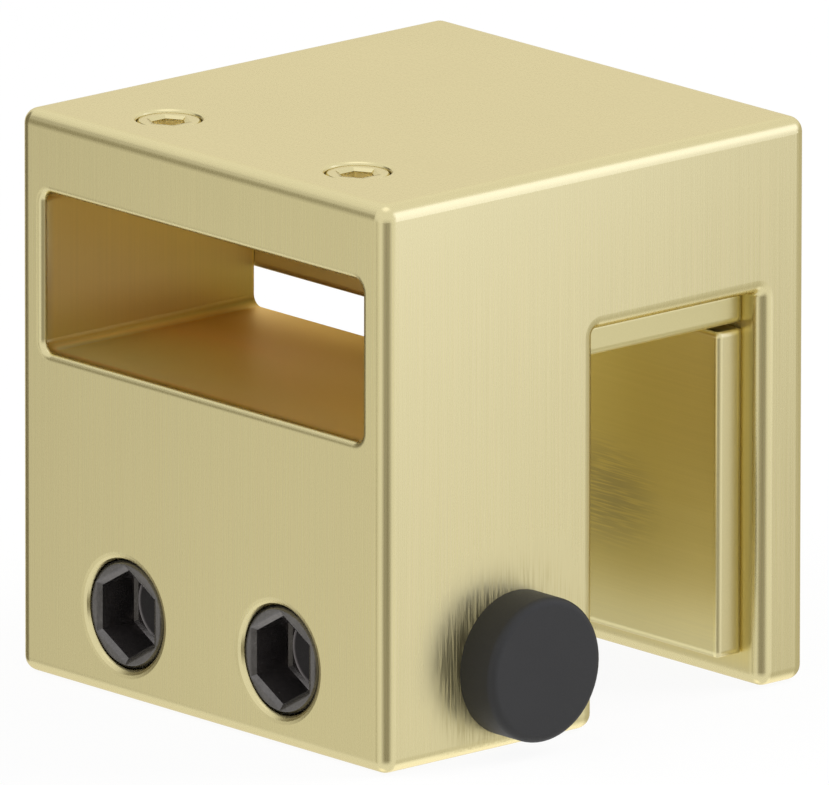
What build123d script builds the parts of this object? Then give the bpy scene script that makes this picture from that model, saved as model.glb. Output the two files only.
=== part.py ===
from build123d import *
import os
from math import cos, radians, sin, tan

# Rail bracket for a shower screen, in millimetres.
# A square block sits astride the top edge of the glass. Two large set screws in its thick front leg
# push a pressure plate against the glass, which bears on a lining plate on the far leg.
# The flat support rail slides into the pocket in the front face and two small set screws hold it.
# X runs along the glass, Y through it from the rail side to the far side, and Z is up.
# The origin is in the middle of the glass channel and of the bracket's length, level with the feet.

# What the bracket takes
glass_thickness = 10.0
glass_play = 0.4           # free room across the glass before it is clamped
glass_cover = 23.9         # how far the glass reaches up between the legs
rail_width = 30.0
rail_thickness = 10.0
rail_play = 0.25           # on each side of the rail

# Block
side_wall = 2.25           # metal beside the rail
rail_roof = 5.15           # metal above the rail, threaded for the rail screws
rail_floor_height = 21.35  # pocket floor above the feet
front_leg = 18.0
far_leg = 4.0
edge_radius = 1.0
pocket_corner = 0.75
pocket_mouth_radius = 0.5
channel_corner = 0.3

# Plates that line the channel
liner_thickness = 2.0
liner_end_gap = 1.8        # from the block's end faces
liner_foot_gap = 2.1       # from the feet up to the back liner and the pressure plate
liner_top_gap = 0.45       # between the back liner and the top liner
bond_gap = 0.05            # behind a bonded plate
plate_thickness = 1.5
plate_end_gap = 2.5
plate_top_gap = 0.65       # from the pressure plate up to the pocket floor
plate_edge_bevel = 0.08    # of all three plates

# Clamp screws, in the front leg
clamp_screw_diameter = 7.0
clamp_screw_inset = 10.1   # from the block's end faces
clamp_screw_recess = 0.2
clamp_rim_bevel = 0.2
clamp_mouth_radius = 0.55
clamp_key = 5.0
clamp_key_depth = 3.1
clamp_lead_in = 0.27       # how far the lead-in stands outside the key's flats
clamp_dog_diameter = 5.4
clamp_dog_reach = 0.8      # into the pressure plate
clamp_shoulder_gap = 0.25  # between the full thread and the pressure plate

# Rail screws, in the roof of the pocket
rail_screw_diameter = 4.1
rail_screw_inset = 8.5     # from the block's end faces
rail_screw_set_back = 5.3  # from the front face
rail_screw_recess = 0.14
rail_rim_bevel = 0.12
rail_mouth_radius = 0.3
rail_screw_tip_gap = 0.1   # from the tip to the pocket's ceiling line
rail_key = 2.0
rail_key_depth = 1.6
rail_lead_in = 0.2
rail_cup_diameter = 2.2
rail_point_slope = 35.0    # of the chamfer that leads to the cup, in degrees

# Both kinds of set screw
screw_clearance = 0.05     # radial
screw_tip_bevel = 0.3
lead_in_slope = 42.0       # degrees from the socket face
floor_bevel_share = 0.04   # of the key, round the socket's floor
drill_slope = 31.0         # of a drilled floor or cup, in degrees
tip_clearance = 0.03
dog_clearance = 0.1

# Rubber bumper on the end face
low_row_height = 5.6       # axis height of the clamp screws and of the bumper
bumper_set_back = 11.1     # from the front face
bumper_diameter = 9.4
bumper_thickness = 3.0
bumper_edge_radius = 0.55
stem_diameter = 4.0
stem_length = 4.0
stem_clearance = 0.05
stem_chamfer = 0.4
stem_floor_gap = 0.3

# Flat steps that take the arc of a screw hole's rounded mouth
mouth_steps = 4

# Slack used when edges are picked by their place
pick_slack = 1e-4

# Sizes that follow
pocket_width = rail_width + 2 * rail_play
pocket_height = rail_thickness + 2 * rail_play
block_length = pocket_width + 2 * side_wall
channel_width = (
    bond_gap + plate_thickness + glass_play + glass_thickness + liner_thickness + bond_gap
)
channel_height = glass_cover + liner_thickness + bond_gap
block_depth = front_leg + channel_width + far_leg
block_height = rail_floor_height + pocket_height + rail_roof
near_wall_y = -channel_width / 2
far_wall_y = channel_width / 2
front_y = near_wall_y - front_leg
back_y = far_wall_y + far_leg
end_x = block_length / 2
pocket_ceiling_height = rail_floor_height + pocket_height
plate_back_y = near_wall_y + bond_gap
liner_length = block_length - 2 * liner_end_gap


def box_between(low, high):
    """A box from its lowest corner to its highest."""
    size = Vector(*high) - Vector(*low)
    middle = (Vector(*high) + Vector(*low)) / 2
    return Pos(middle) * Box(size.X, size.Y, size.Z)


def saddle():
    """The block with its glass channel, all outer edges rounded."""
    block = box_between((-end_x, front_y, 0), (end_x, back_y, block_height))
    channel = box_between(
        (-block_length, near_wall_y, -block_height), (block_length, far_wall_y, channel_height)
    )
    channel = fillet(channel.edges().filter_by(Axis.X).group_by(Axis.Z)[-1], channel_corner)
    block -= channel
    corner_seams = block.edges().filter_by(Axis.X).filter_by(
        lambda edge: abs(edge.center().Y) < channel_width / 2 + pick_slack
        and edge.center().Z > channel_height / 2
    )
    return fillet(block.edges() - corner_seams, edge_radius)


def rail_pocket():
    """The space for the rail's end, from the front face through to the channel."""
    space = box_between(
        (-pocket_width / 2, front_y - front_leg, rail_floor_height),
        (pocket_width / 2, near_wall_y, pocket_ceiling_height),
    )
    return fillet(space.edges().filter_by(Axis.Y), pocket_corner)


def clamp_screw_places():
    """Axis places (x, z) of the clamp screws, left then right."""
    return [(side * (end_x - clamp_screw_inset), low_row_height) for side in (-1, 1)]


def rail_screw_places():
    """Axis places (x, y) of the rail screws, left then right."""
    return [
        (side * (end_x - rail_screw_inset), front_y + rail_screw_set_back) for side in (-1, 1)
    ]


def mouth(shape, face_plane, place):
    """The edges of the opening that lies in a face of the block, with its middle at a place."""
    face = shape.faces().filter_by(face_plane).sort_by_distance(place)[0]
    return face.inner_wires().sort_by_distance(place)[0].edges()


def rounded_hole(radius, depth, mouth_radius):
    """A round hole that opens upwards at z = 0, with a rounded mouth."""
    turns = [radians(90 * step / mouth_steps) for step in range(mouth_steps + 1)]
    arc = [
        (radius + mouth_radius * (1 - sin(turn)), -mouth_radius * (1 - cos(turn)))
        for turn in turns
    ]
    outline = Polyline(
        (0, mouth_radius),
        (radius + mouth_radius, mouth_radius),
        *arc,
        (radius, -depth),
        (0, -depth),
        close=True,
    )
    return revolve(Plane.XZ * make_face(outline), Axis.Z)


def make_body():
    """The milled block: channel, rail pocket, four tapped holes and the bumper's blind hole."""
    pocket_middle = Vector(0, front_y, rail_floor_height + pocket_height / 2)
    body = saddle() - rail_pocket()
    body = fillet(mouth(body, Plane.XZ, pocket_middle), pocket_mouth_radius)

    clamp_hole = rounded_hole(
        clamp_screw_diameter / 2 + screw_clearance, front_leg + bond_gap, clamp_mouth_radius
    )
    for x, z in clamp_screw_places():
        body -= Pos(x, front_y, z) * Rot(90, 0, 0) * clamp_hole

    rail_hole = rounded_hole(
        rail_screw_diameter / 2 + screw_clearance, rail_roof + rail_play, rail_mouth_radius
    )
    for x, y in rail_screw_places():
        body -= Pos(x, y, block_height) * rail_hole

    stem_hole = Cylinder(
        stem_diameter / 2 + stem_clearance, 2 * (stem_length + stem_floor_gap), rotation=(0, 90, 0)
    )
    return body - Pos(end_x, front_y + bumper_set_back, low_row_height) * stem_hole


def key_outline(flat_radius):
    """The hexagon with a flat at a distance from the axis on each side, left and right."""
    return RegularPolygon(flat_radius, 6, major_radius=False, rotation=30)


def socket_cutter(key, depth, lead_in):
    """A hexagon socket that opens upwards at z = 0, bevelled at its mouth and floor, then drilled."""
    flat_radius = key / 2
    floor_bevel = key * floor_bevel_share
    floor_radius = flat_radius - floor_bevel
    floor_depth = floor_radius * tan(radians(drill_slope))
    lead_in_depth = lead_in * tan(radians(lead_in_slope))
    space = extrude(key_outline(flat_radius), -depth)
    space = chamfer(space.edges().group_by(Axis.Z)[0], floor_bevel)
    lead_in_floor = Pos(0, 0, -lead_in_depth) * key_outline(flat_radius)
    space += loft([key_outline(flat_radius + lead_in), lead_in_floor])
    return space + Pos(0, 0, -depth - floor_depth / 2) * Cone(0, floor_radius, floor_depth)


def make_clamp_screw(x, z):
    """A socket set screw with a dog point, from just inside the front face to the pressure plate."""
    radius = clamp_screw_diameter / 2
    length = front_leg - clamp_screw_recess + bond_gap - clamp_shoulder_gap
    dog_radius = clamp_dog_diameter / 2
    dog_end = -length - clamp_shoulder_gap - clamp_dog_reach + tip_clearance
    outline = Polyline(
        (0, 0),
        (radius - clamp_rim_bevel, 0),
        (radius, -clamp_rim_bevel),
        (radius, -length + (radius - dog_radius)),
        (dog_radius, -length),
        (dog_radius, dog_end + screw_tip_bevel),
        (dog_radius - screw_tip_bevel, dog_end),
        (0, dog_end),
        close=True,
    )
    blank = revolve(Plane.XZ * make_face(outline), Axis.Z)
    screw = blank - socket_cutter(clamp_key, clamp_key_depth, clamp_lead_in)
    return Pos(x, front_y + clamp_screw_recess, z) * Rot(90, 0, 0) * screw


def make_rail_screw(x, y):
    """A small socket set screw with a cup point, in the roof of the rail pocket."""
    radius = rail_screw_diameter / 2
    length = rail_roof - rail_screw_recess - rail_screw_tip_gap
    cup_radius = rail_cup_diameter / 2
    cup_depth = cup_radius * tan(radians(drill_slope))
    outline = Polyline(
        (0, 0),
        (radius - rail_rim_bevel, 0),
        (radius, -rail_rim_bevel),
        (radius, -length + (radius - cup_radius) * tan(radians(rail_point_slope))),
        (cup_radius, -length),
        (0, -length + cup_depth),
        close=True,
    )
    blank = revolve(Plane.XZ * make_face(outline), Axis.Z)
    screw = blank - socket_cutter(rail_key, rail_key_depth, rail_lead_in)
    return Pos(x, y, block_height - rail_screw_recess) * screw


def make_top_liner():
    """The plate under the channel's ceiling, which the glass edge comes up against."""
    plate = box_between(
        (-liner_length / 2, near_wall_y + bond_gap, glass_cover),
        (liner_length / 2, far_wall_y - bond_gap, glass_cover + liner_thickness),
    )
    return chamfer(plate.edges(), plate_edge_bevel)


def make_back_liner():
    """The plate on the far leg that the glass is clamped against."""
    plate = box_between(
        (-liner_length / 2, far_wall_y - bond_gap - liner_thickness, liner_foot_gap),
        (liner_length / 2, far_wall_y - bond_gap, glass_cover - liner_top_gap),
    )
    return chamfer(plate.edges(), plate_edge_bevel)


def make_pressure_plate():
    """The loose plate that the clamp screws push, with a blind seat for each dog point."""
    half_length = end_x - plate_end_gap
    plate = box_between(
        (-half_length, plate_back_y, liner_foot_gap),
        (half_length, plate_back_y + plate_thickness, rail_floor_height - plate_top_gap),
    )
    plate = chamfer(plate.edges(), plate_edge_bevel)
    seat_radius = clamp_dog_diameter / 2 + dog_clearance
    for x, z in clamp_screw_places():
        seat = Cylinder(seat_radius, 2 * clamp_dog_reach, rotation=(90, 0, 0))
        plate -= Pos(x, plate_back_y, z) * seat
    return plate


def make_bumper():
    """The moulded rubber bumper: a round pad and the stem that is pressed into the block."""
    radius = bumper_diameter / 2
    pad = Cylinder(radius, bumper_thickness, align=(Align.CENTER, Align.CENTER, Align.MIN))
    pad = fillet(pad.edges().group_by(Axis.Z)[-1], bumper_edge_radius)
    stem = Cylinder(
        stem_diameter / 2, stem_length, align=(Align.CENTER, Align.CENTER, Align.MAX)
    )
    stem = chamfer(stem.edges().group_by(Axis.Z)[0], stem_chamfer)
    bumper = pad + stem
    return Pos(end_x, front_y + bumper_set_back, low_row_height) * Rot(0, 90, 0) * bumper


def make_pieces():
    """Every separate piece of the bracket by name."""
    pieces = {
        "body": make_body(),
        "top_liner": make_top_liner(),
        "back_liner": make_back_liner(),
        "pressure_plate": make_pressure_plate(),
        "bumper": make_bumper(),
    }
    for side, place in zip(("left", "right"), clamp_screw_places()):
        pieces["clamp_screw_" + side] = make_clamp_screw(*place)
    for side, place in zip(("left", "right"), rail_screw_places()):
        pieces["rail_screw_" + side] = make_rail_screw(*place)
    return pieces


os.makedirs("parts", exist_ok=True)
for name, piece in make_pieces().items():
    export_step(piece, f"parts/{name}.step")
    print(name, round(piece.volume, 2), "mm3")
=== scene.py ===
from math import cos, radians, sin

import bpy
from mathutils import Matrix, Vector


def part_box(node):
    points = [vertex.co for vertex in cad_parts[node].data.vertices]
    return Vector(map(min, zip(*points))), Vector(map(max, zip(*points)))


# Looks of the shower screen's rail bracket. Lengths are in metres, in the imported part's frame:
# X along the glass, Y from the rail side to the far side, Z up, feet at zero.

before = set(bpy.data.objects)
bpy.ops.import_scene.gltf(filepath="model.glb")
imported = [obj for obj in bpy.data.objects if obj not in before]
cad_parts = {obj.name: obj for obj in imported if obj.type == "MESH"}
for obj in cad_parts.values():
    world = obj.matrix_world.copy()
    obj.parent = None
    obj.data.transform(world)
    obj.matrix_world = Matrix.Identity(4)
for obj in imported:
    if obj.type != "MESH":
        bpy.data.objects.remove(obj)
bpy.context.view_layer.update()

MM = 0.001
X, Y, Z = range(3)

block_low, block_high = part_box("body")
block_middle = (block_low + block_high) / 2
front_y = block_low.y
end_x = block_high.x
top_z = block_high.z
clamp_screw_low, clamp_screw_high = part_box("clamp_screw_right")
clamp_screw_middle = (clamp_screw_low + clamp_screw_high) / 2
clamp_screw_radius = (clamp_screw_high.x - clamp_screw_low.x) / 2
rail_screw_low, rail_screw_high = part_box("rail_screw_right")
rail_screw_middle = (rail_screw_low + rail_screw_high) / 2
rail_screw_radius = (rail_screw_high.x - rail_screw_low.x) / 2
bumper_low, bumper_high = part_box("bumper")
bumper_middle = (bumper_low + bumper_high) / 2
bumper_radius = (bumper_high.z - bumper_low.z) / 2

# The rail pocket and the glass channel, as they lie in the block
POCKET_SIDE = 15.25 * MM
POCKET_FLOOR = 21.35 * MM
POCKET_CEILING = 31.85 * MM
CHANNEL_SIDE = 7.0 * MM
CHANNEL_CEILING = 25.95 * MM
MASK_BORDER = 0.1 * MM    # over which a mask fades out beyond a wall

# The screws' hexagon sockets, from the axis to a flat and from the end face inwards
CLAMP_SOCKET_MOUTH = 2.77 * MM
CLAMP_SOCKET_FOOT = (2.28 * MM, 2.46 * MM)    # the ring along the foot of the walls
CLAMP_SOCKET_DEPTH = 3.1 * MM                 # to where the drilled floor starts
RAIL_SOCKET_MOUTH = 1.2 * MM

# Brushed lines, and the shorter ones by the bumper and on the back liner
LINE_WIDTH = 0.12 * MM
LINE_LENGTH = 18 * MM
LINE_RELIEF = 0.0012 * MM
LINE_SHADE = 0.10
LINE_MATT = 0.12
LEVEL_LINES = 0.25        # strength on the level faces
SCORE_WIDTH = 0.08 * MM
SCORE_LENGTH = 3 * MM
SCRATCH_LENGTH = 2.5 * MM

# The scratched patch on the back liner
SMUDGE_X = 4.5 * MM
SMUDGE_Z = 11 * MM
SMUDGE_HALF_LENGTH = 7.0 * MM
SMUDGE_HALF_HEIGHT = 4.6 * MM

# Polish
BODY_ROUGHNESS = 0.27
PLATE_ROUGHNESS = 0.33
RAIL_SCREW_ROUGHNESS = 0.24

# Colours, linear
BRASS = (0.70, 0.625, 0.347)
BRASS_AT_GRAZING = (0.905, 0.847, 0.706)
BLACK_OXIDE = (0.130, 0.124, 0.121)
RUBBER = (0.0155, 0.0155, 0.0160)
PALE = (0.95, 0.95, 0.95)
WHITE = (1.0, 1.0, 1.0)

# Painted light, reflections and shade that multiply the body's colour in the pocket and the channel
POCKET_PAINTED_LIGHT = (1.26, 1.15, 0.92)
POCKET_FLOOR_PAINTED_REFLECTION = (1.26, 1.19, 1.44)
POCKET_SILL_PAINTED_REFLECTION = (1.08, 1.12, 1.22)
POCKET_FOOT_PAINTED_SHADE = (0.84, 0.80, 0.70)
POCKET_CORNER_PAINTED_REFLECTION = (0.98, 1.08, 1.35)
POCKET_BACK_PAINTED_SHADE = (0.80, 0.70, 0.45)
CHANNEL_PAINTED_LIGHT = (1.20, 1.17, 0.98)

# Tints of the plates and the screws: painted light, reflections and shade, apart from the lighter foot
# and the scratched smudge
POCKET_EDGE_PAINTED_SHADE = (0.74, 0.66, 0.60)
PLATE_END_PAINTED_SHADE = (0.94, 0.94, 0.87)
GLASS_SIDE_PAINTED_REFLECTION = (1.00, 0.96, 0.79)
GLASS_SIDE_END_PAINTED_HIGHLIGHT = (1.24, 1.26, 1.42)
GLASS_SIDE_MIDDLE_PAINTED_SHADE = (0.87, 0.88, 0.87)
FOOT_TINT = (1.12, 1.15, 1.16)
SMUDGE_TINT = (0.72, 0.73, 0.90)
RAIL_SOCKET_PAINTED_LIGHT = (1.36, 1.38, 1.62)
CLAMP_SOCKET_PAINTED_LIGHT = (1.15, 1.10, 1.10)
DRILLED_FLOOR_PAINTED_SHADE = (0.12, 0.12, 0.12)

# Camera, fitted to the block's corners
VIEW_AZIMUTH = radians(48.254)
VIEW_ELEVATION = radians(14.689)
VIEW_ROLL = radians(0.077)
AIM_SHIFT_RIGHT = 0.109 * MM
AIM_SHIFT_UP = 0.063 * MM
IMAGE_WIDTH = 829
PIXELS_PER_METRE = 15730
LENS = 1500
SENSOR = 36

# Surroundings
FLOOR_SIZE = 8.0
FLOOR_DROP = 0.05 * MM    # under the feet
FLOOR_GLOW = 0.93         # the share of the floor that is plain white, the rest shows the shadow
SOFT_LIGHT = 0.6          # the world's level where it only lights, next to 1 where it is seen


class Signal:
    """A number that varies over a surface. Arithmetic on it adds Math nodes."""

    def __init__(self, nodes, socket):
        self.nodes = nodes
        self.socket = socket

    def __add__(self, other):
        return self.nodes.math("ADD", self, other)

    __radd__ = __add__

    def __sub__(self, other):
        return self.nodes.math("SUBTRACT", self, other)

    def __rsub__(self, other):
        return self.nodes.math("SUBTRACT", other, self)

    def __mul__(self, other):
        return self.nodes.math("MULTIPLY", self, other)

    __rmul__ = __mul__

    def __truediv__(self, other):
        return self.nodes.math("DIVIDE", self, other)

    def __abs__(self):
        return self.nodes.math("ABSOLUTE", self)


class Nodes:
    """A node tree and the short ways that its nodes are added."""

    def __init__(self, tree):
        self.tree = tree

    def node(self, kind, settings=None, inputs=None, output=0):
        """Adds a node: its settings first, then the value or link of each socket."""
        made = self.tree.nodes.new("ShaderNode" + kind)
        for setting, value in (settings or {}).items():
            setattr(made, setting, value)
        for socket, value in (inputs or {}).items():
            self.feed(made.inputs[socket], value)
        return Signal(self, made.outputs[output])

    def feed(self, socket, value):
        """Links a signal to a socket, or sets the socket's own value."""
        if isinstance(value, Signal):
            self.tree.links.new(value.socket, socket)
        elif socket.type == "RGBA" and len(value) == 3:
            socket.default_value = (*value, 1)
        else:
            socket.default_value = value

    def math(self, operation, *values):
        """Works out one operation on numbers and signals."""
        return self.node("Math", {"operation": operation}, dict(enumerate(values)))

    def step(self, value, low, high):
        """Rises smoothly from 0 at low to 1 at high."""
        return self.node(
            "MapRange",
            {"interpolation_type": "SMOOTHSTEP"},
            {"Value": value, "From Min": low, "From Max": high},
        )

    def fade(self, value, low, high):
        """Falls smoothly from 1 at low to 0 at high."""
        return 1 - self.step(value, low, high)

    def within(self, value, low, high, soft):
        """1 between low and high, falling to 0 over a soft border outside."""
        return self.step(value, low - soft, low) * self.fade(value, high, high + soft)

    def between_walls(self, value, low, high):
        """1 between two walls and on both of them, 0 beyond them."""
        return self.within(value, low - MASK_BORDER, high + MASK_BORDER, MASK_BORDER)

    def seen(self):
        """1 for rays that come from the camera, from a reflection or through something clear."""
        camera, glossy, clear = [
            self.node("LightPath", output=f"Is {kind} Ray")
            for kind in ("Camera", "Glossy", "Transmission")
        ]
        return self.math("MAXIMUM", self.math("MAXIMUM", camera, glossy), clear)


class Finish(Nodes):
    """One procedural material."""

    def __init__(self, name):
        self.material = bpy.data.materials.new(name)
        self.material.use_nodes = True
        super().__init__(self.material.node_tree)

    def set(self, **inputs):
        """Feeds the main shader's sockets."""
        shader = self.tree.nodes["Principled BSDF"]
        for socket, value in inputs.items():
            self.feed(shader.inputs[socket.replace("_", " ")], value)

    def show(self, shader):
        """Puts another shader in the place of the main one."""
        self.feed(self.tree.nodes["Material Output"].inputs["Surface"], shader)

    def point(self):
        """The place on the object, as a vector."""
        return self.node("TexCoord", output="Object")

    def facing(self):
        """The surface's direction, as a vector."""
        return self.node("TexCoord", output="Normal")

    def parts(self, vector):
        """A vector's three numbers."""
        split = self.node("SeparateXYZ", inputs={0: vector})
        return [Signal(self, split.socket.node.outputs[axis]) for axis in (X, Y, Z)]

    def at(self, axis):
        """The place on the object along one axis."""
        return self.parts(self.point())[axis]

    def faces(self, axis, low=0.7, high=0.9):
        """1 on the faces square to an axis, whichever way they look, and 0 on those along it."""
        return self.step(abs(self.parts(self.facing())[axis]), low, high)

    def level_tops(self):
        """1 on the surfaces that face up."""
        return self.step(self.parts(self.facing())[Z], 0.5, 0.9)

    def radius(self, across, along):
        """The distance from an axis, from the two distances across it."""
        return self.math("SQRT", across * across + along * along)

    def hexagon(self, across, along):
        """The distance from an axis to the flat of the hexagon through a point, flats at each side."""
        slanted = abs(across) * 0.5 + abs(along) * (0.75 ** 0.5)
        return self.math("MAXIMUM", abs(across), slanted)

    def bevel(self, distance, width, slope):
        """A height that falls ever more steeply to a slope over the last width before an edge."""
        short = self.math("MINIMUM", self.math("MAXIMUM", width - distance, 0.0), width)
        return short * short * (-slope / (2 * width))

    def relief(self, height, strength=1.0, distance=1.0):
        """A bump, its height in metres unless a distance scales it."""
        return self.node(
            "Bump", inputs={"Strength": strength, "Distance": distance, "Height": height}
        )

    def noise(self, scale, detail):
        """Noise from 0 to 1, its features one unit across after each axis is scaled by itself."""
        place = self.node(
            "VectorMath", {"operation": "MULTIPLY"}, {0: self.point(), 1: scale}
        )
        return self.node(
            "TexNoise", inputs={"Vector": place, "Scale": 1.0, "Detail": detail, "Roughness": 0.5}
        )

    def clouds(self, size, detail=2.0):
        """Noise with patches of one size."""
        return self.noise([1 / size] * 3, detail)

    def streaks(self, width, length, along):
        """Brushed lines of a width and length that run along one axis."""
        return self.noise([1 / length if axis == along else 1 / width for axis in (X, Y, Z)], 1.0)

    def mix(self, share, first, second, blend="MIX"):
        """Goes from the first colour to the second as share goes from 0 to 1."""
        settings = {"data_type": "RGBA", "blend_type": blend}
        return self.node("Mix", settings, {0: share, 6: first, 7: second}, 2)

    def shades(self, share, colour, dark, light):
        """Goes from a colour's dark shade to its light one as share goes from 0 to 1."""
        return self.mix(share, [part * dark for part in colour], [part * light for part in colour])

    def tinted(self, share, colour, tint):
        """Multiplies a colour by a tint, as far as share says."""
        return self.mix(share, colour, tint, "MULTIPLY")


def wear(names, finish):
    """Gives the finish to the part's nodes of these names."""
    for name in names:
        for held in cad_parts[name].material_slots:
            held.material = finish.material


def brushed(finish, upright_along):
    """Brushed lines: along one axis on the upright faces, and fainter along X on the level ones."""
    level = finish.faces(Z, 0.55, 0.85)
    upright_lines = finish.streaks(LINE_WIDTH, LINE_LENGTH, upright_along)
    level_lines = finish.streaks(LINE_WIDTH, LINE_LENGTH, X)
    return 0.5 + (upright_lines - 0.5) * (1 - level) + (level_lines - 0.5) * level * LEVEL_LINES


def flat_share(finish):
    """1 on the flat faces and 0 on the rounded edges, which are left smooth."""
    along_x, along_y, along_z = [abs(part) for part in finish.parts(finish.facing())]
    most = finish.math("MAXIMUM", finish.math("MAXIMUM", along_x, along_y), along_z)
    return finish.step(most, 0.93, 0.99)


def brass(name, upright_along, roughness, places, edges=None):
    """Brushed brass: fine lines in colour, roughness and relief, and softly broken edges.

    Each place is a mask, the tint that it gives the colour and what it adds to the roughness.
    """
    finish = Finish(name)
    lines = brushed(finish, upright_along)
    cloud = finish.clouds(9 * MM)
    shade = (lines - 0.5) * LINE_SHADE + (cloud - 0.5) * 0.04
    colour = finish.shades(0.5 + shade, BRASS, dark=0.55, light=1.45)
    rough = roughness + (lines - 0.5) * LINE_MATT
    for mask, tint, matt in places:
        share = mask(finish)
        colour = finish.tinted(share, colour, tint)
        rough = rough + share * matt
    height = lines * flat_share(finish) * LINE_RELIEF
    if edges:
        height = height + edges(finish)
    finish.set(
        Base_Color=colour,
        Metallic=1.0,
        Roughness=rough,
        Specular_Tint=BRASS_AT_GRAZING,
        Normal=finish.relief(height),
    )
    return finish


def in_pocket(finish):
    """1 inside the rail pocket, fading out towards its mouth."""
    x, y, z = finish.parts(finish.point())
    deep = finish.step(y, front_y + 0.3 * MM, front_y + 1.2 * MM)
    deep = deep * finish.fade(y, -CHANNEL_SIDE + 0.1 * MM, -CHANNEL_SIDE + 0.3 * MM)
    high = finish.between_walls(z, POCKET_FLOOR, POCKET_CEILING)
    return deep * high * finish.between_walls(x, -POCKET_SIDE, POCKET_SIDE)


def floor_of_pocket(finish):
    """1 on the pocket's floor at its far end, falling to a quarter towards the bumper's side."""
    far = 1 - finish.step(finish.at(X), -10 * MM, 6 * MM) * 0.75
    return in_pocket(finish) * finish.level_tops() * far


def sill_of_pocket(finish):
    """1 on the pocket's floor just inside its mouth, fading out inwards."""
    near_mouth = finish.fade(finish.at(Y), front_y + 3 * MM, front_y + 9 * MM)
    return in_pocket(finish) * finish.level_tops() * near_mouth


def foot_of_pocket_wall(finish):
    """1 along the foot of the pocket's side walls, fading out upwards."""
    low = finish.fade(finish.at(Z), POCKET_FLOOR + 0.6 * MM, POCKET_FLOOR + 4 * MM)
    return in_pocket(finish) * finish.faces(X, 0.7, 0.95) * low


def corner_of_pocket(finish):
    """1 on the rounded corners along the pocket."""
    sideways = abs(finish.parts(finish.facing())[X])
    return in_pocket(finish) * finish.within(sideways, 0.35, 0.85, 0.1)


def back_of_pocket(finish):
    """1 on the pocket's floor beside the opening into the channel, fading out forwards."""
    x, y, z = finish.parts(finish.point())
    near = finish.step(y - x * 0.15, front_y + 8 * MM, front_y + 16 * MM)
    low = finish.fade(z, POCKET_FLOOR + 0.1 * MM, POCKET_FLOOR + 1.0 * MM)
    before_channel = finish.fade(y, -CHANNEL_SIDE - 0.1 * MM, -CHANNEL_SIDE + 0.1 * MM)
    return in_pocket(finish) * near * low * before_channel


def in_channel(finish):
    """1 on the walls of the glass channel, fading out towards its ends and its mouth."""
    x, y, z = finish.parts(finish.point())
    walls = finish.between_walls(y, -CHANNEL_SIDE, CHANNEL_SIDE)
    ends = finish.fade(abs(x), end_x - 1.3 * MM, end_x - 0.6 * MM)
    above_feet = finish.step(z, 0.5 * MM, 2.0 * MM)
    below_ceiling = finish.fade(z, CHANNEL_CEILING, CHANNEL_CEILING + MASK_BORDER)
    return walls * ends * (above_feet * below_ceiling)


def beside_bumper(finish):
    """1 on the end face close to the bumper, fading out away from it."""
    x, y, z = finish.parts(finish.point())
    away = finish.radius(y - bumper_middle.y, z - bumper_middle.z)
    near = finish.fade(away, bumper_radius + 0.5 * MM, bumper_radius + 4.5 * MM)
    return near * finish.step(x, end_x - 0.2 * MM, end_x - 0.1 * MM)


def scored_by_bumper(finish):
    """1 on short upright lines round the bumper, which break up its reflection."""
    lines = finish.streaks(SCORE_WIDTH, SCORE_LENGTH, Z)
    return beside_bumper(finish) * finish.step(lines, 0.42, 0.62)


def paint_body():
    """Brushed upright, with painted light, reflections and shade in the pocket and the channel, and
    scored lines by the bumper.
    """
    places = [
        # Painted light in the pocket and the channel, painted reflections on the pocket's floor, sill
        # and corners, and painted shade along the foot of its walls and beside the opening.
        (in_pocket, POCKET_PAINTED_LIGHT, 0.16),
        (floor_of_pocket, POCKET_FLOOR_PAINTED_REFLECTION, 0.0),
        (sill_of_pocket, POCKET_SILL_PAINTED_REFLECTION, 0.0),
        (foot_of_pocket_wall, POCKET_FOOT_PAINTED_SHADE, 0.0),
        (corner_of_pocket, POCKET_CORNER_PAINTED_REFLECTION, 0.0),
        (back_of_pocket, POCKET_BACK_PAINTED_SHADE, 0.10),
        (in_channel, CHANNEL_PAINTED_LIGHT, 0.10),
        (beside_bumper, WHITE, 0.05),
        (scored_by_bumper, WHITE, 0.30),
    ]
    wear(["body"], brass("brushed_brass", Z, BODY_ROUGHNESS, places))


def edge_towards_pocket(finish):
    """1 on the plate's edge that shows at the back of the rail pocket."""
    return finish.fade(finish.at(Y), -CHANNEL_SIDE + 0.1 * MM, -CHANNEL_SIDE + 0.2 * MM)


def ends_of_plate(finish):
    """1 on a plate's two end faces."""
    return finish.faces(X)


def broad_faces(finish):
    """1 on a plate's broad faces, one of them towards the glass, fading out towards its foot."""
    return finish.faces(Y) * finish.step(finish.at(Z), 0, 9 * MM)


def ends_of_broad_faces(finish):
    """1 towards the two ends of a plate's broad faces, fading out towards the middle and the foot."""
    return broad_faces(finish) * finish.step(abs(finish.at(X)), 7 * MM, 15 * MM)


def middle_of_broad_faces(finish):
    """1 in a level band across a plate's broad faces, fading out upwards and downwards."""
    z = finish.at(Z)
    return finish.faces(Y) * finish.step(z, 3.5 * MM, 8 * MM) * finish.fade(z, 9 * MM, 13.5 * MM)


def foot_of_broad_faces(finish):
    """1 along the foot of a plate's broad faces, fading out upwards."""
    return finish.faces(Y) * finish.fade(finish.at(Z), 2.5 * MM, 8 * MM)


def smudge(finish):
    """1 where fine scratches have dulled the plate that the glass is clamped against."""
    x, _, z = finish.parts(finish.point())
    away = finish.radius((x - SMUDGE_X) / SMUDGE_HALF_LENGTH, (z - SMUDGE_Z) / SMUDGE_HALF_HEIGHT)
    scratches = finish.streaks(LINE_WIDTH, SCRATCH_LENGTH, X)
    return finish.faces(Y) * finish.fade(away, 0.2, 1.0) * finish.step(scratches, 0.3, 0.6)


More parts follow.
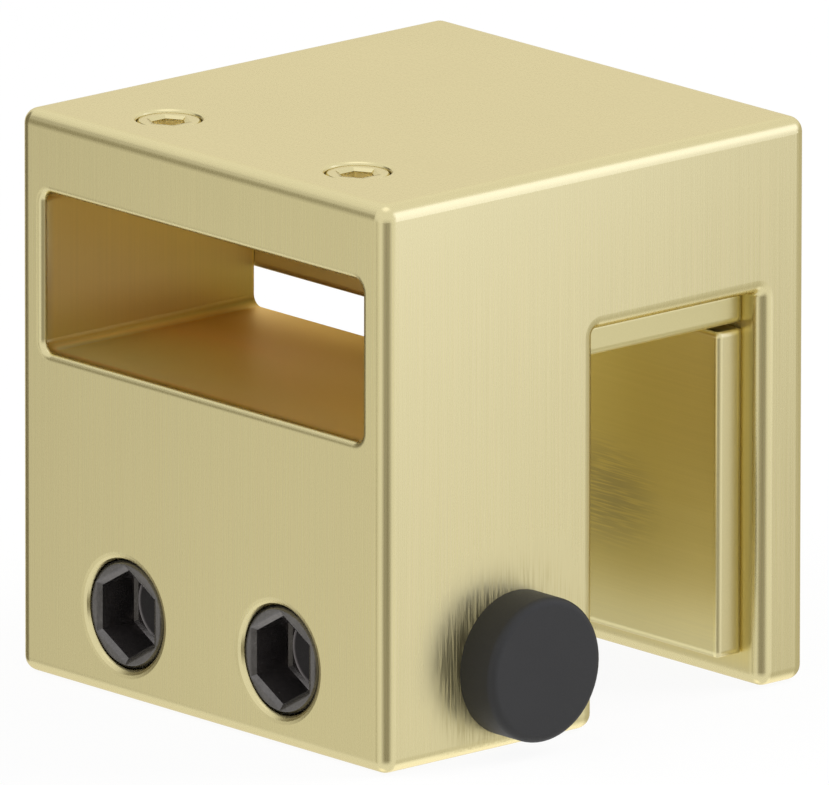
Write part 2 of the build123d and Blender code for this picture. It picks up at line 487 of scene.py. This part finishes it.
def edges_of_plate(node):
    """Soft edges all round a plate."""
    low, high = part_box(node)

    def edges(finish):
        total = 0.0
        for axis, place in enumerate(finish.parts(finish.point())):
            middle = (low[axis] + high[axis]) / 2
            half = (high[axis] - low[axis]) / 2
            total = total + finish.bevel(half - abs(place - middle), width=0.40 * MM, slope=0.9)
        return total

    return edges


def paint_plate(node, places):
    """A plate with soft edges, brushed along the glass."""
    wear([node], brass(node + "_brass", X, PLATE_ROUGHNESS, places, edges_of_plate(node)))


def paint_plates():
    """The two liners and the pressure plate, with painted shade on the top liner's pocket edge and end
    faces, and a painted golden reflection, painted highlights and a painted darker band on the upright
    plates.
    """
    paint_plate("top_liner", [
        # Painted shade on the edge at the back of the pocket and on the end faces.
        (edge_towards_pocket, POCKET_EDGE_PAINTED_SHADE, 0.15),
        (ends_of_plate, PLATE_END_PAINTED_SHADE, 0.0),
    ])
    glass_side_painted_light_and_shade = [
        # A painted golden reflection on the broad faces, painted highlights towards their ends and a
        # painted darker band across their middle.
        (broad_faces, GLASS_SIDE_PAINTED_REFLECTION, 0.0),
        (ends_of_broad_faces, GLASS_SIDE_END_PAINTED_HIGHLIGHT, 0.0),
        (middle_of_broad_faces, GLASS_SIDE_MIDDLE_PAINTED_SHADE, 0.0),
    ]
    lighter_foot_and_smudge = [
        # Lighter towards the foot, and a scratched smudge.
        (foot_of_broad_faces, FOOT_TINT, 0.04),
        (smudge, SMUDGE_TINT, 0.0),
    ]
    paint_plate("back_liner", glass_side_painted_light_and_shade + lighter_foot_and_smudge)
    paint_plate("pressure_plate", glass_side_painted_light_and_shade)


def in_rail_screw_socket(finish):
    """1 on the walls and the bottom of a rail screw's socket."""
    x, y, z = finish.parts(finish.point())
    from_axis = finish.hexagon(abs(x) - rail_screw_middle.x, y - rail_screw_middle.y)
    deep = finish.fade(z, top_z - 0.5 * MM, top_z - 0.3 * MM)
    return deep * finish.fade(from_axis, RAIL_SOCKET_MOUTH, RAIL_SOCKET_MOUTH + 0.05 * MM)


def edges_of_rail_screw(finish):
    """Soft edges at the rim and round the socket of a rail screw."""
    x, y, _ = finish.parts(finish.point())
    across, along = abs(x) - rail_screw_middle.x, y - rail_screw_middle.y
    from_axis = finish.hexagon(across, along)
    from_rim = rail_screw_radius - finish.radius(across, along)
    rim = finish.bevel(from_rim, width=0.30 * MM, slope=0.5)
    return rim + finish.bevel(from_axis - RAIL_SOCKET_MOUTH, width=0.20 * MM, slope=0.8)


def paint_rail_screws():
    """Brass like the body's, with painted light in the sockets."""
    # Painted light in the sockets.
    places = [(in_rail_screw_socket, RAIL_SOCKET_PAINTED_LIGHT, 0.1)]
    finish = brass("rail_screw_brass", X, RAIL_SCREW_ROUGHNESS, places, edges_of_rail_screw)
    wear(["rail_screw_left", "rail_screw_right"], finish)


def on_clamp_screw(finish):
    """The place on a clamp screw: sideways and upwards from its axis, and in from its end face."""
    x, y, z = finish.parts(finish.point())
    return abs(x) - clamp_screw_middle.x, z - clamp_screw_middle.z, y - clamp_screw_low.y


def in_clamp_screw_socket(finish):
    """1 in a clamp screw's socket, and little along the foot of its walls."""
    across, upright, depth = on_clamp_screw(finish)
    from_axis = finish.hexagon(across, upright)
    deep = finish.step(depth, 0.2 * MM, 0.4 * MM)
    deep = deep * finish.fade(from_axis, CLAMP_SOCKET_MOUTH, clamp_screw_radius)
    foot = finish.within(from_axis, *CLAMP_SOCKET_FOOT, 0.05 * MM)
    foot = foot * finish.step(depth, CLAMP_SOCKET_DEPTH - 0.4 * MM, CLAMP_SOCKET_DEPTH - 0.2 * MM)
    return deep * (1 - foot * 0.8)


def on_drilled_floor(finish):
    """1 on the drilled floor of a clamp screw's socket."""
    _, _, depth = on_clamp_screw(finish)
    return finish.step(depth, CLAMP_SOCKET_DEPTH, CLAMP_SOCKET_DEPTH + 0.1 * MM)


def edges_of_clamp_screw(finish):
    """Soft edges at the rim and round the socket of a clamp screw."""
    across, upright, _ = on_clamp_screw(finish)
    from_axis = finish.hexagon(across, upright)
    from_rim = clamp_screw_radius - finish.radius(across, upright)
    rim = finish.bevel(from_rim, width=0.35 * MM, slope=0.6)
    return rim + finish.bevel(from_axis - CLAMP_SOCKET_MOUTH, width=0.15 * MM, slope=0.5)


def paint_clamp_screws():
    """Blackened steel with a fine grain and soft edges, painted light in the socket and painted shade
    on its drilled floor.
    """
    finish = Finish("blackened_steel")
    grain = finish.clouds(0.25 * MM, detail=4.0)
    cloud = finish.clouds(1.6 * MM)
    shade = 0.5 + (grain - 0.5) * 0.5 + (cloud - 0.5) * 0.4
    colour = finish.shades(shade, BLACK_OXIDE, dark=0.5, light=1.6)
    # Painted light in the socket, painted shade on its drilled floor.
    colour = finish.tinted(in_clamp_screw_socket(finish), colour, CLAMP_SOCKET_PAINTED_LIGHT)
    colour = finish.tinted(on_drilled_floor(finish), colour, DRILLED_FLOOR_PAINTED_SHADE)
    finish.set(
        Base_Color=colour,
        Metallic=0.85,
        Roughness=0.20 + grain * 0.10,
        Normal=finish.relief(edges_of_clamp_screw(finish) + grain * (0.009 * MM)),
    )
    wear(["clamp_screw_left", "clamp_screw_right"], finish)


def paint_bumper():
    """Matt moulded rubber with a very fine grain."""
    finish = Finish("matt_rubber")
    grain = finish.clouds(0.12 * MM, detail=3.0)
    cloud = finish.clouds(3.0 * MM)
    finish.set(
        Base_Color=finish.shades(grain * 0.4 + cloud * 0.6, RUBBER, dark=0.85, light=1.2),
        Roughness=0.55 + grain * 0.15,
        Normal=finish.relief(grain, strength=0.2, distance=0.02 * MM),
    )
    wear(["bumper"], finish)


def toward(azimuth, elevation):
    """A direction from the object: azimuth from -Y round to +X, elevation above the horizon."""
    return Vector(
        (sin(azimuth) * cos(elevation), -cos(azimuth) * cos(elevation), sin(elevation))
    )


def add_camera():
    """A long lens at the fitted angle, so the block shows almost no perspective."""
    right = Vector((cos(VIEW_AZIMUTH), sin(VIEW_AZIMUTH), 0))
    back = toward(VIEW_AZIMUTH, VIEW_ELEVATION)
    up = back.cross(right)
    level_right = right * cos(VIEW_ROLL) + up * sin(VIEW_ROLL)
    level_up = back.cross(level_right)
    distance = LENS / SENSOR * IMAGE_WIDTH / PIXELS_PER_METRE
    target = block_middle + right * AIM_SHIFT_RIGHT + up * AIM_SHIFT_UP
    camera = bpy.data.objects.new("camera", bpy.data.cameras.new("camera"))
    camera.data.lens = LENS
    camera.data.sensor_width = SENSOR
    camera.data.sensor_fit = "HORIZONTAL"
    camera.data.clip_start = 0.01
    camera.data.clip_end = 50
    turn = Matrix((level_right, level_up, back)).transposed().to_4x4()
    camera.matrix_world = Matrix.Translation(target + back * distance) @ turn
    bpy.context.scene.collection.objects.link(camera)
    bpy.context.scene.camera = camera


def face_block(obj, azimuth, elevation, distance):
    """Puts an object at two angles in degrees and a distance, its front towards the block."""
    away = toward(radians(azimuth), radians(elevation)) * distance
    turn = (-away).to_track_quat("-Z", "Y").to_matrix().to_4x4()
    obj.matrix_world = Matrix.Translation(block_middle + away) @ turn


def add_lamp(name, at, size, power):
    """A soft rectangular lamp that faces the block."""
    lamp = bpy.data.objects.new(name, bpy.data.lights.new(name, "AREA"))
    lamp.data.shape = "RECTANGLE"
    lamp.data.size, lamp.data.size_y = size
    lamp.data.energy = power
    face_block(lamp, *at)
    lamp.visible_camera = False
    lamp.visible_glossy = False
    bpy.context.scene.collection.objects.link(lamp)


def add_rectangle(name, width, height):
    """A flat rectangle with its middle at its origin."""
    across, upright = width / 2, height / 2
    corners = [
        (-across, -upright, 0),
        (across, -upright, 0),
        (across, upright, 0),
        (-across, upright, 0),
    ]
    mesh = bpy.data.meshes.new(name)
    mesh.from_pydata(corners, [], [(0, 1, 2, 3)])
    rectangle = bpy.data.objects.new(name, mesh)
    bpy.context.scene.collection.objects.link(rectangle)
    return rectangle


def add_card(name, colour, at, size, soft, cover=1.0):
    """A card with soft edges that only reflections see, as studio flags and panels shape metal."""
    card = add_rectangle(name, *size)
    face_block(card, *at)
    card.visible_camera = False
    card.visible_diffuse = False
    card.visible_shadow = False
    finish = Finish(name)
    right, top, _ = finish.parts(finish.point())
    half_width, half_height = size[0] / 2, size[1] / 2
    sides = finish.fade(abs(right), half_width - soft, half_width)
    ends = finish.fade(abs(top), half_height - soft, half_height)
    clear = finish.node("BsdfTransparent")
    glow = finish.node("Emission", inputs={"Color": colour, "Strength": 1.0})
    finish.show(finish.node("MixShader", inputs={0: sides * ends * cover, 1: clear, 2: glow}))
    card.data.materials.append(finish.material)


def add_floor():
    """A pale floor: white to the camera apart from a faint shadow, unseen in the metal."""
    floor = add_rectangle("floor", FLOOR_SIZE, FLOOR_SIZE)
    floor.location.z = block_low.z - FLOOR_DROP
    floor.visible_glossy = False
    finish = Finish("pale_floor")
    plain = finish.node("BsdfDiffuse", inputs={"Color": PALE})
    glow = finish.node("Emission", inputs={"Color": WHITE, "Strength": 1.0})
    finish.show(finish.node("MixShader", inputs={0: finish.seen() * FLOOR_GLOW, 1: plain, 2: glow}))
    floor.data.materials.append(finish.material)


def light_world():
    """White to the camera and in reflections, and a plain soft level on the object."""
    world = bpy.data.worlds.new("studio")
    bpy.context.scene.world = world
    world.use_nodes = True
    nodes = Nodes(world.node_tree)
    background = nodes.tree.nodes["Background"]
    level = nodes.node(
        "MapRange", inputs={"Value": nodes.seen(), "To Min": SOFT_LIGHT, "To Max": 1.0}
    )
    nodes.feed(background.inputs["Color"], WHITE)
    nodes.feed(background.inputs["Strength"], level)


def light_block():
    """Soft lamps, and cards for the metal to reflect: flags and a veil darken it, others lift it."""
    add_lamp("key_lamp", at=(150, 40, 0.6), size=(0.35, 0.35), power=2.0)
    add_lamp("fill_lamp", at=(-20, 50, 0.7), size=(0.4, 0.4), power=1.5)
    add_card("camera_flag", (0.25, 0.23, 0.175), at=(55, -17, 0.30), size=(0.46, 0.34), soft=0.17)
    add_card("left_flag", (0.22, 0.20, 0.155), at=(-72.5, 2, 0.25), size=(0.214, 0.34), soft=0.035)
    add_card("brow_flag", (0.34, 0.32, 0.25), at=(-45, 11.5, 0.24), size=(0.150, 0.155), soft=0.055)
    add_card("slim_flag", (0.48, 0.46, 0.39), at=(-17, -15, 0.28), size=(0.080, 0.24), soft=0.035)
    add_card("front_panel", (0.885, 0.875, 0.825), at=(-26, -15, 0.32), size=(0.43, 0.26), soft=0.08)
    add_card("rear_lamp", (1.60, 1.66, 2.05), at=(133, 14.5, 0.30), size=(0.22, 0.31), soft=0.035)
    add_card("rear_panel", (0.65, 0.63, 0.55), at=(164.5, -15, 0.14), size=(0.242, 0.22), soft=0.055)
    add_card("under_lamp", (1.50, 1.50, 1.56), at=(180, -46, 0.30), size=(0.40, 0.22), soft=0.06)
    add_card("floor_lamp", (1.50, 1.46, 1.40), at=(-75, -76, 0.30), size=(0.20, 0.16), soft=0.05)
    add_card("overhead_lamp", (1.50, 1.50, 1.60), at=(0, 89, 0.30), size=(0.26, 0.26), soft=0.08)
    add_card("top_panel", (1.06, 1.07, 1.10), at=(-125, 40, 0.30), size=(0.50, 0.20), soft=0.08)
    add_card("left_veil", (0, 0, 0), at=(-95, 5, 0.14), size=(0.25, 0.24), soft=0.09, cover=0.03)


paint_body()
paint_plates()
paint_rail_screws()
paint_clamp_screws()
paint_bumper()
light_world()
add_floor()
add_camera()
light_block()
bpy.context.scene.view_settings.view_transform = "Standard"
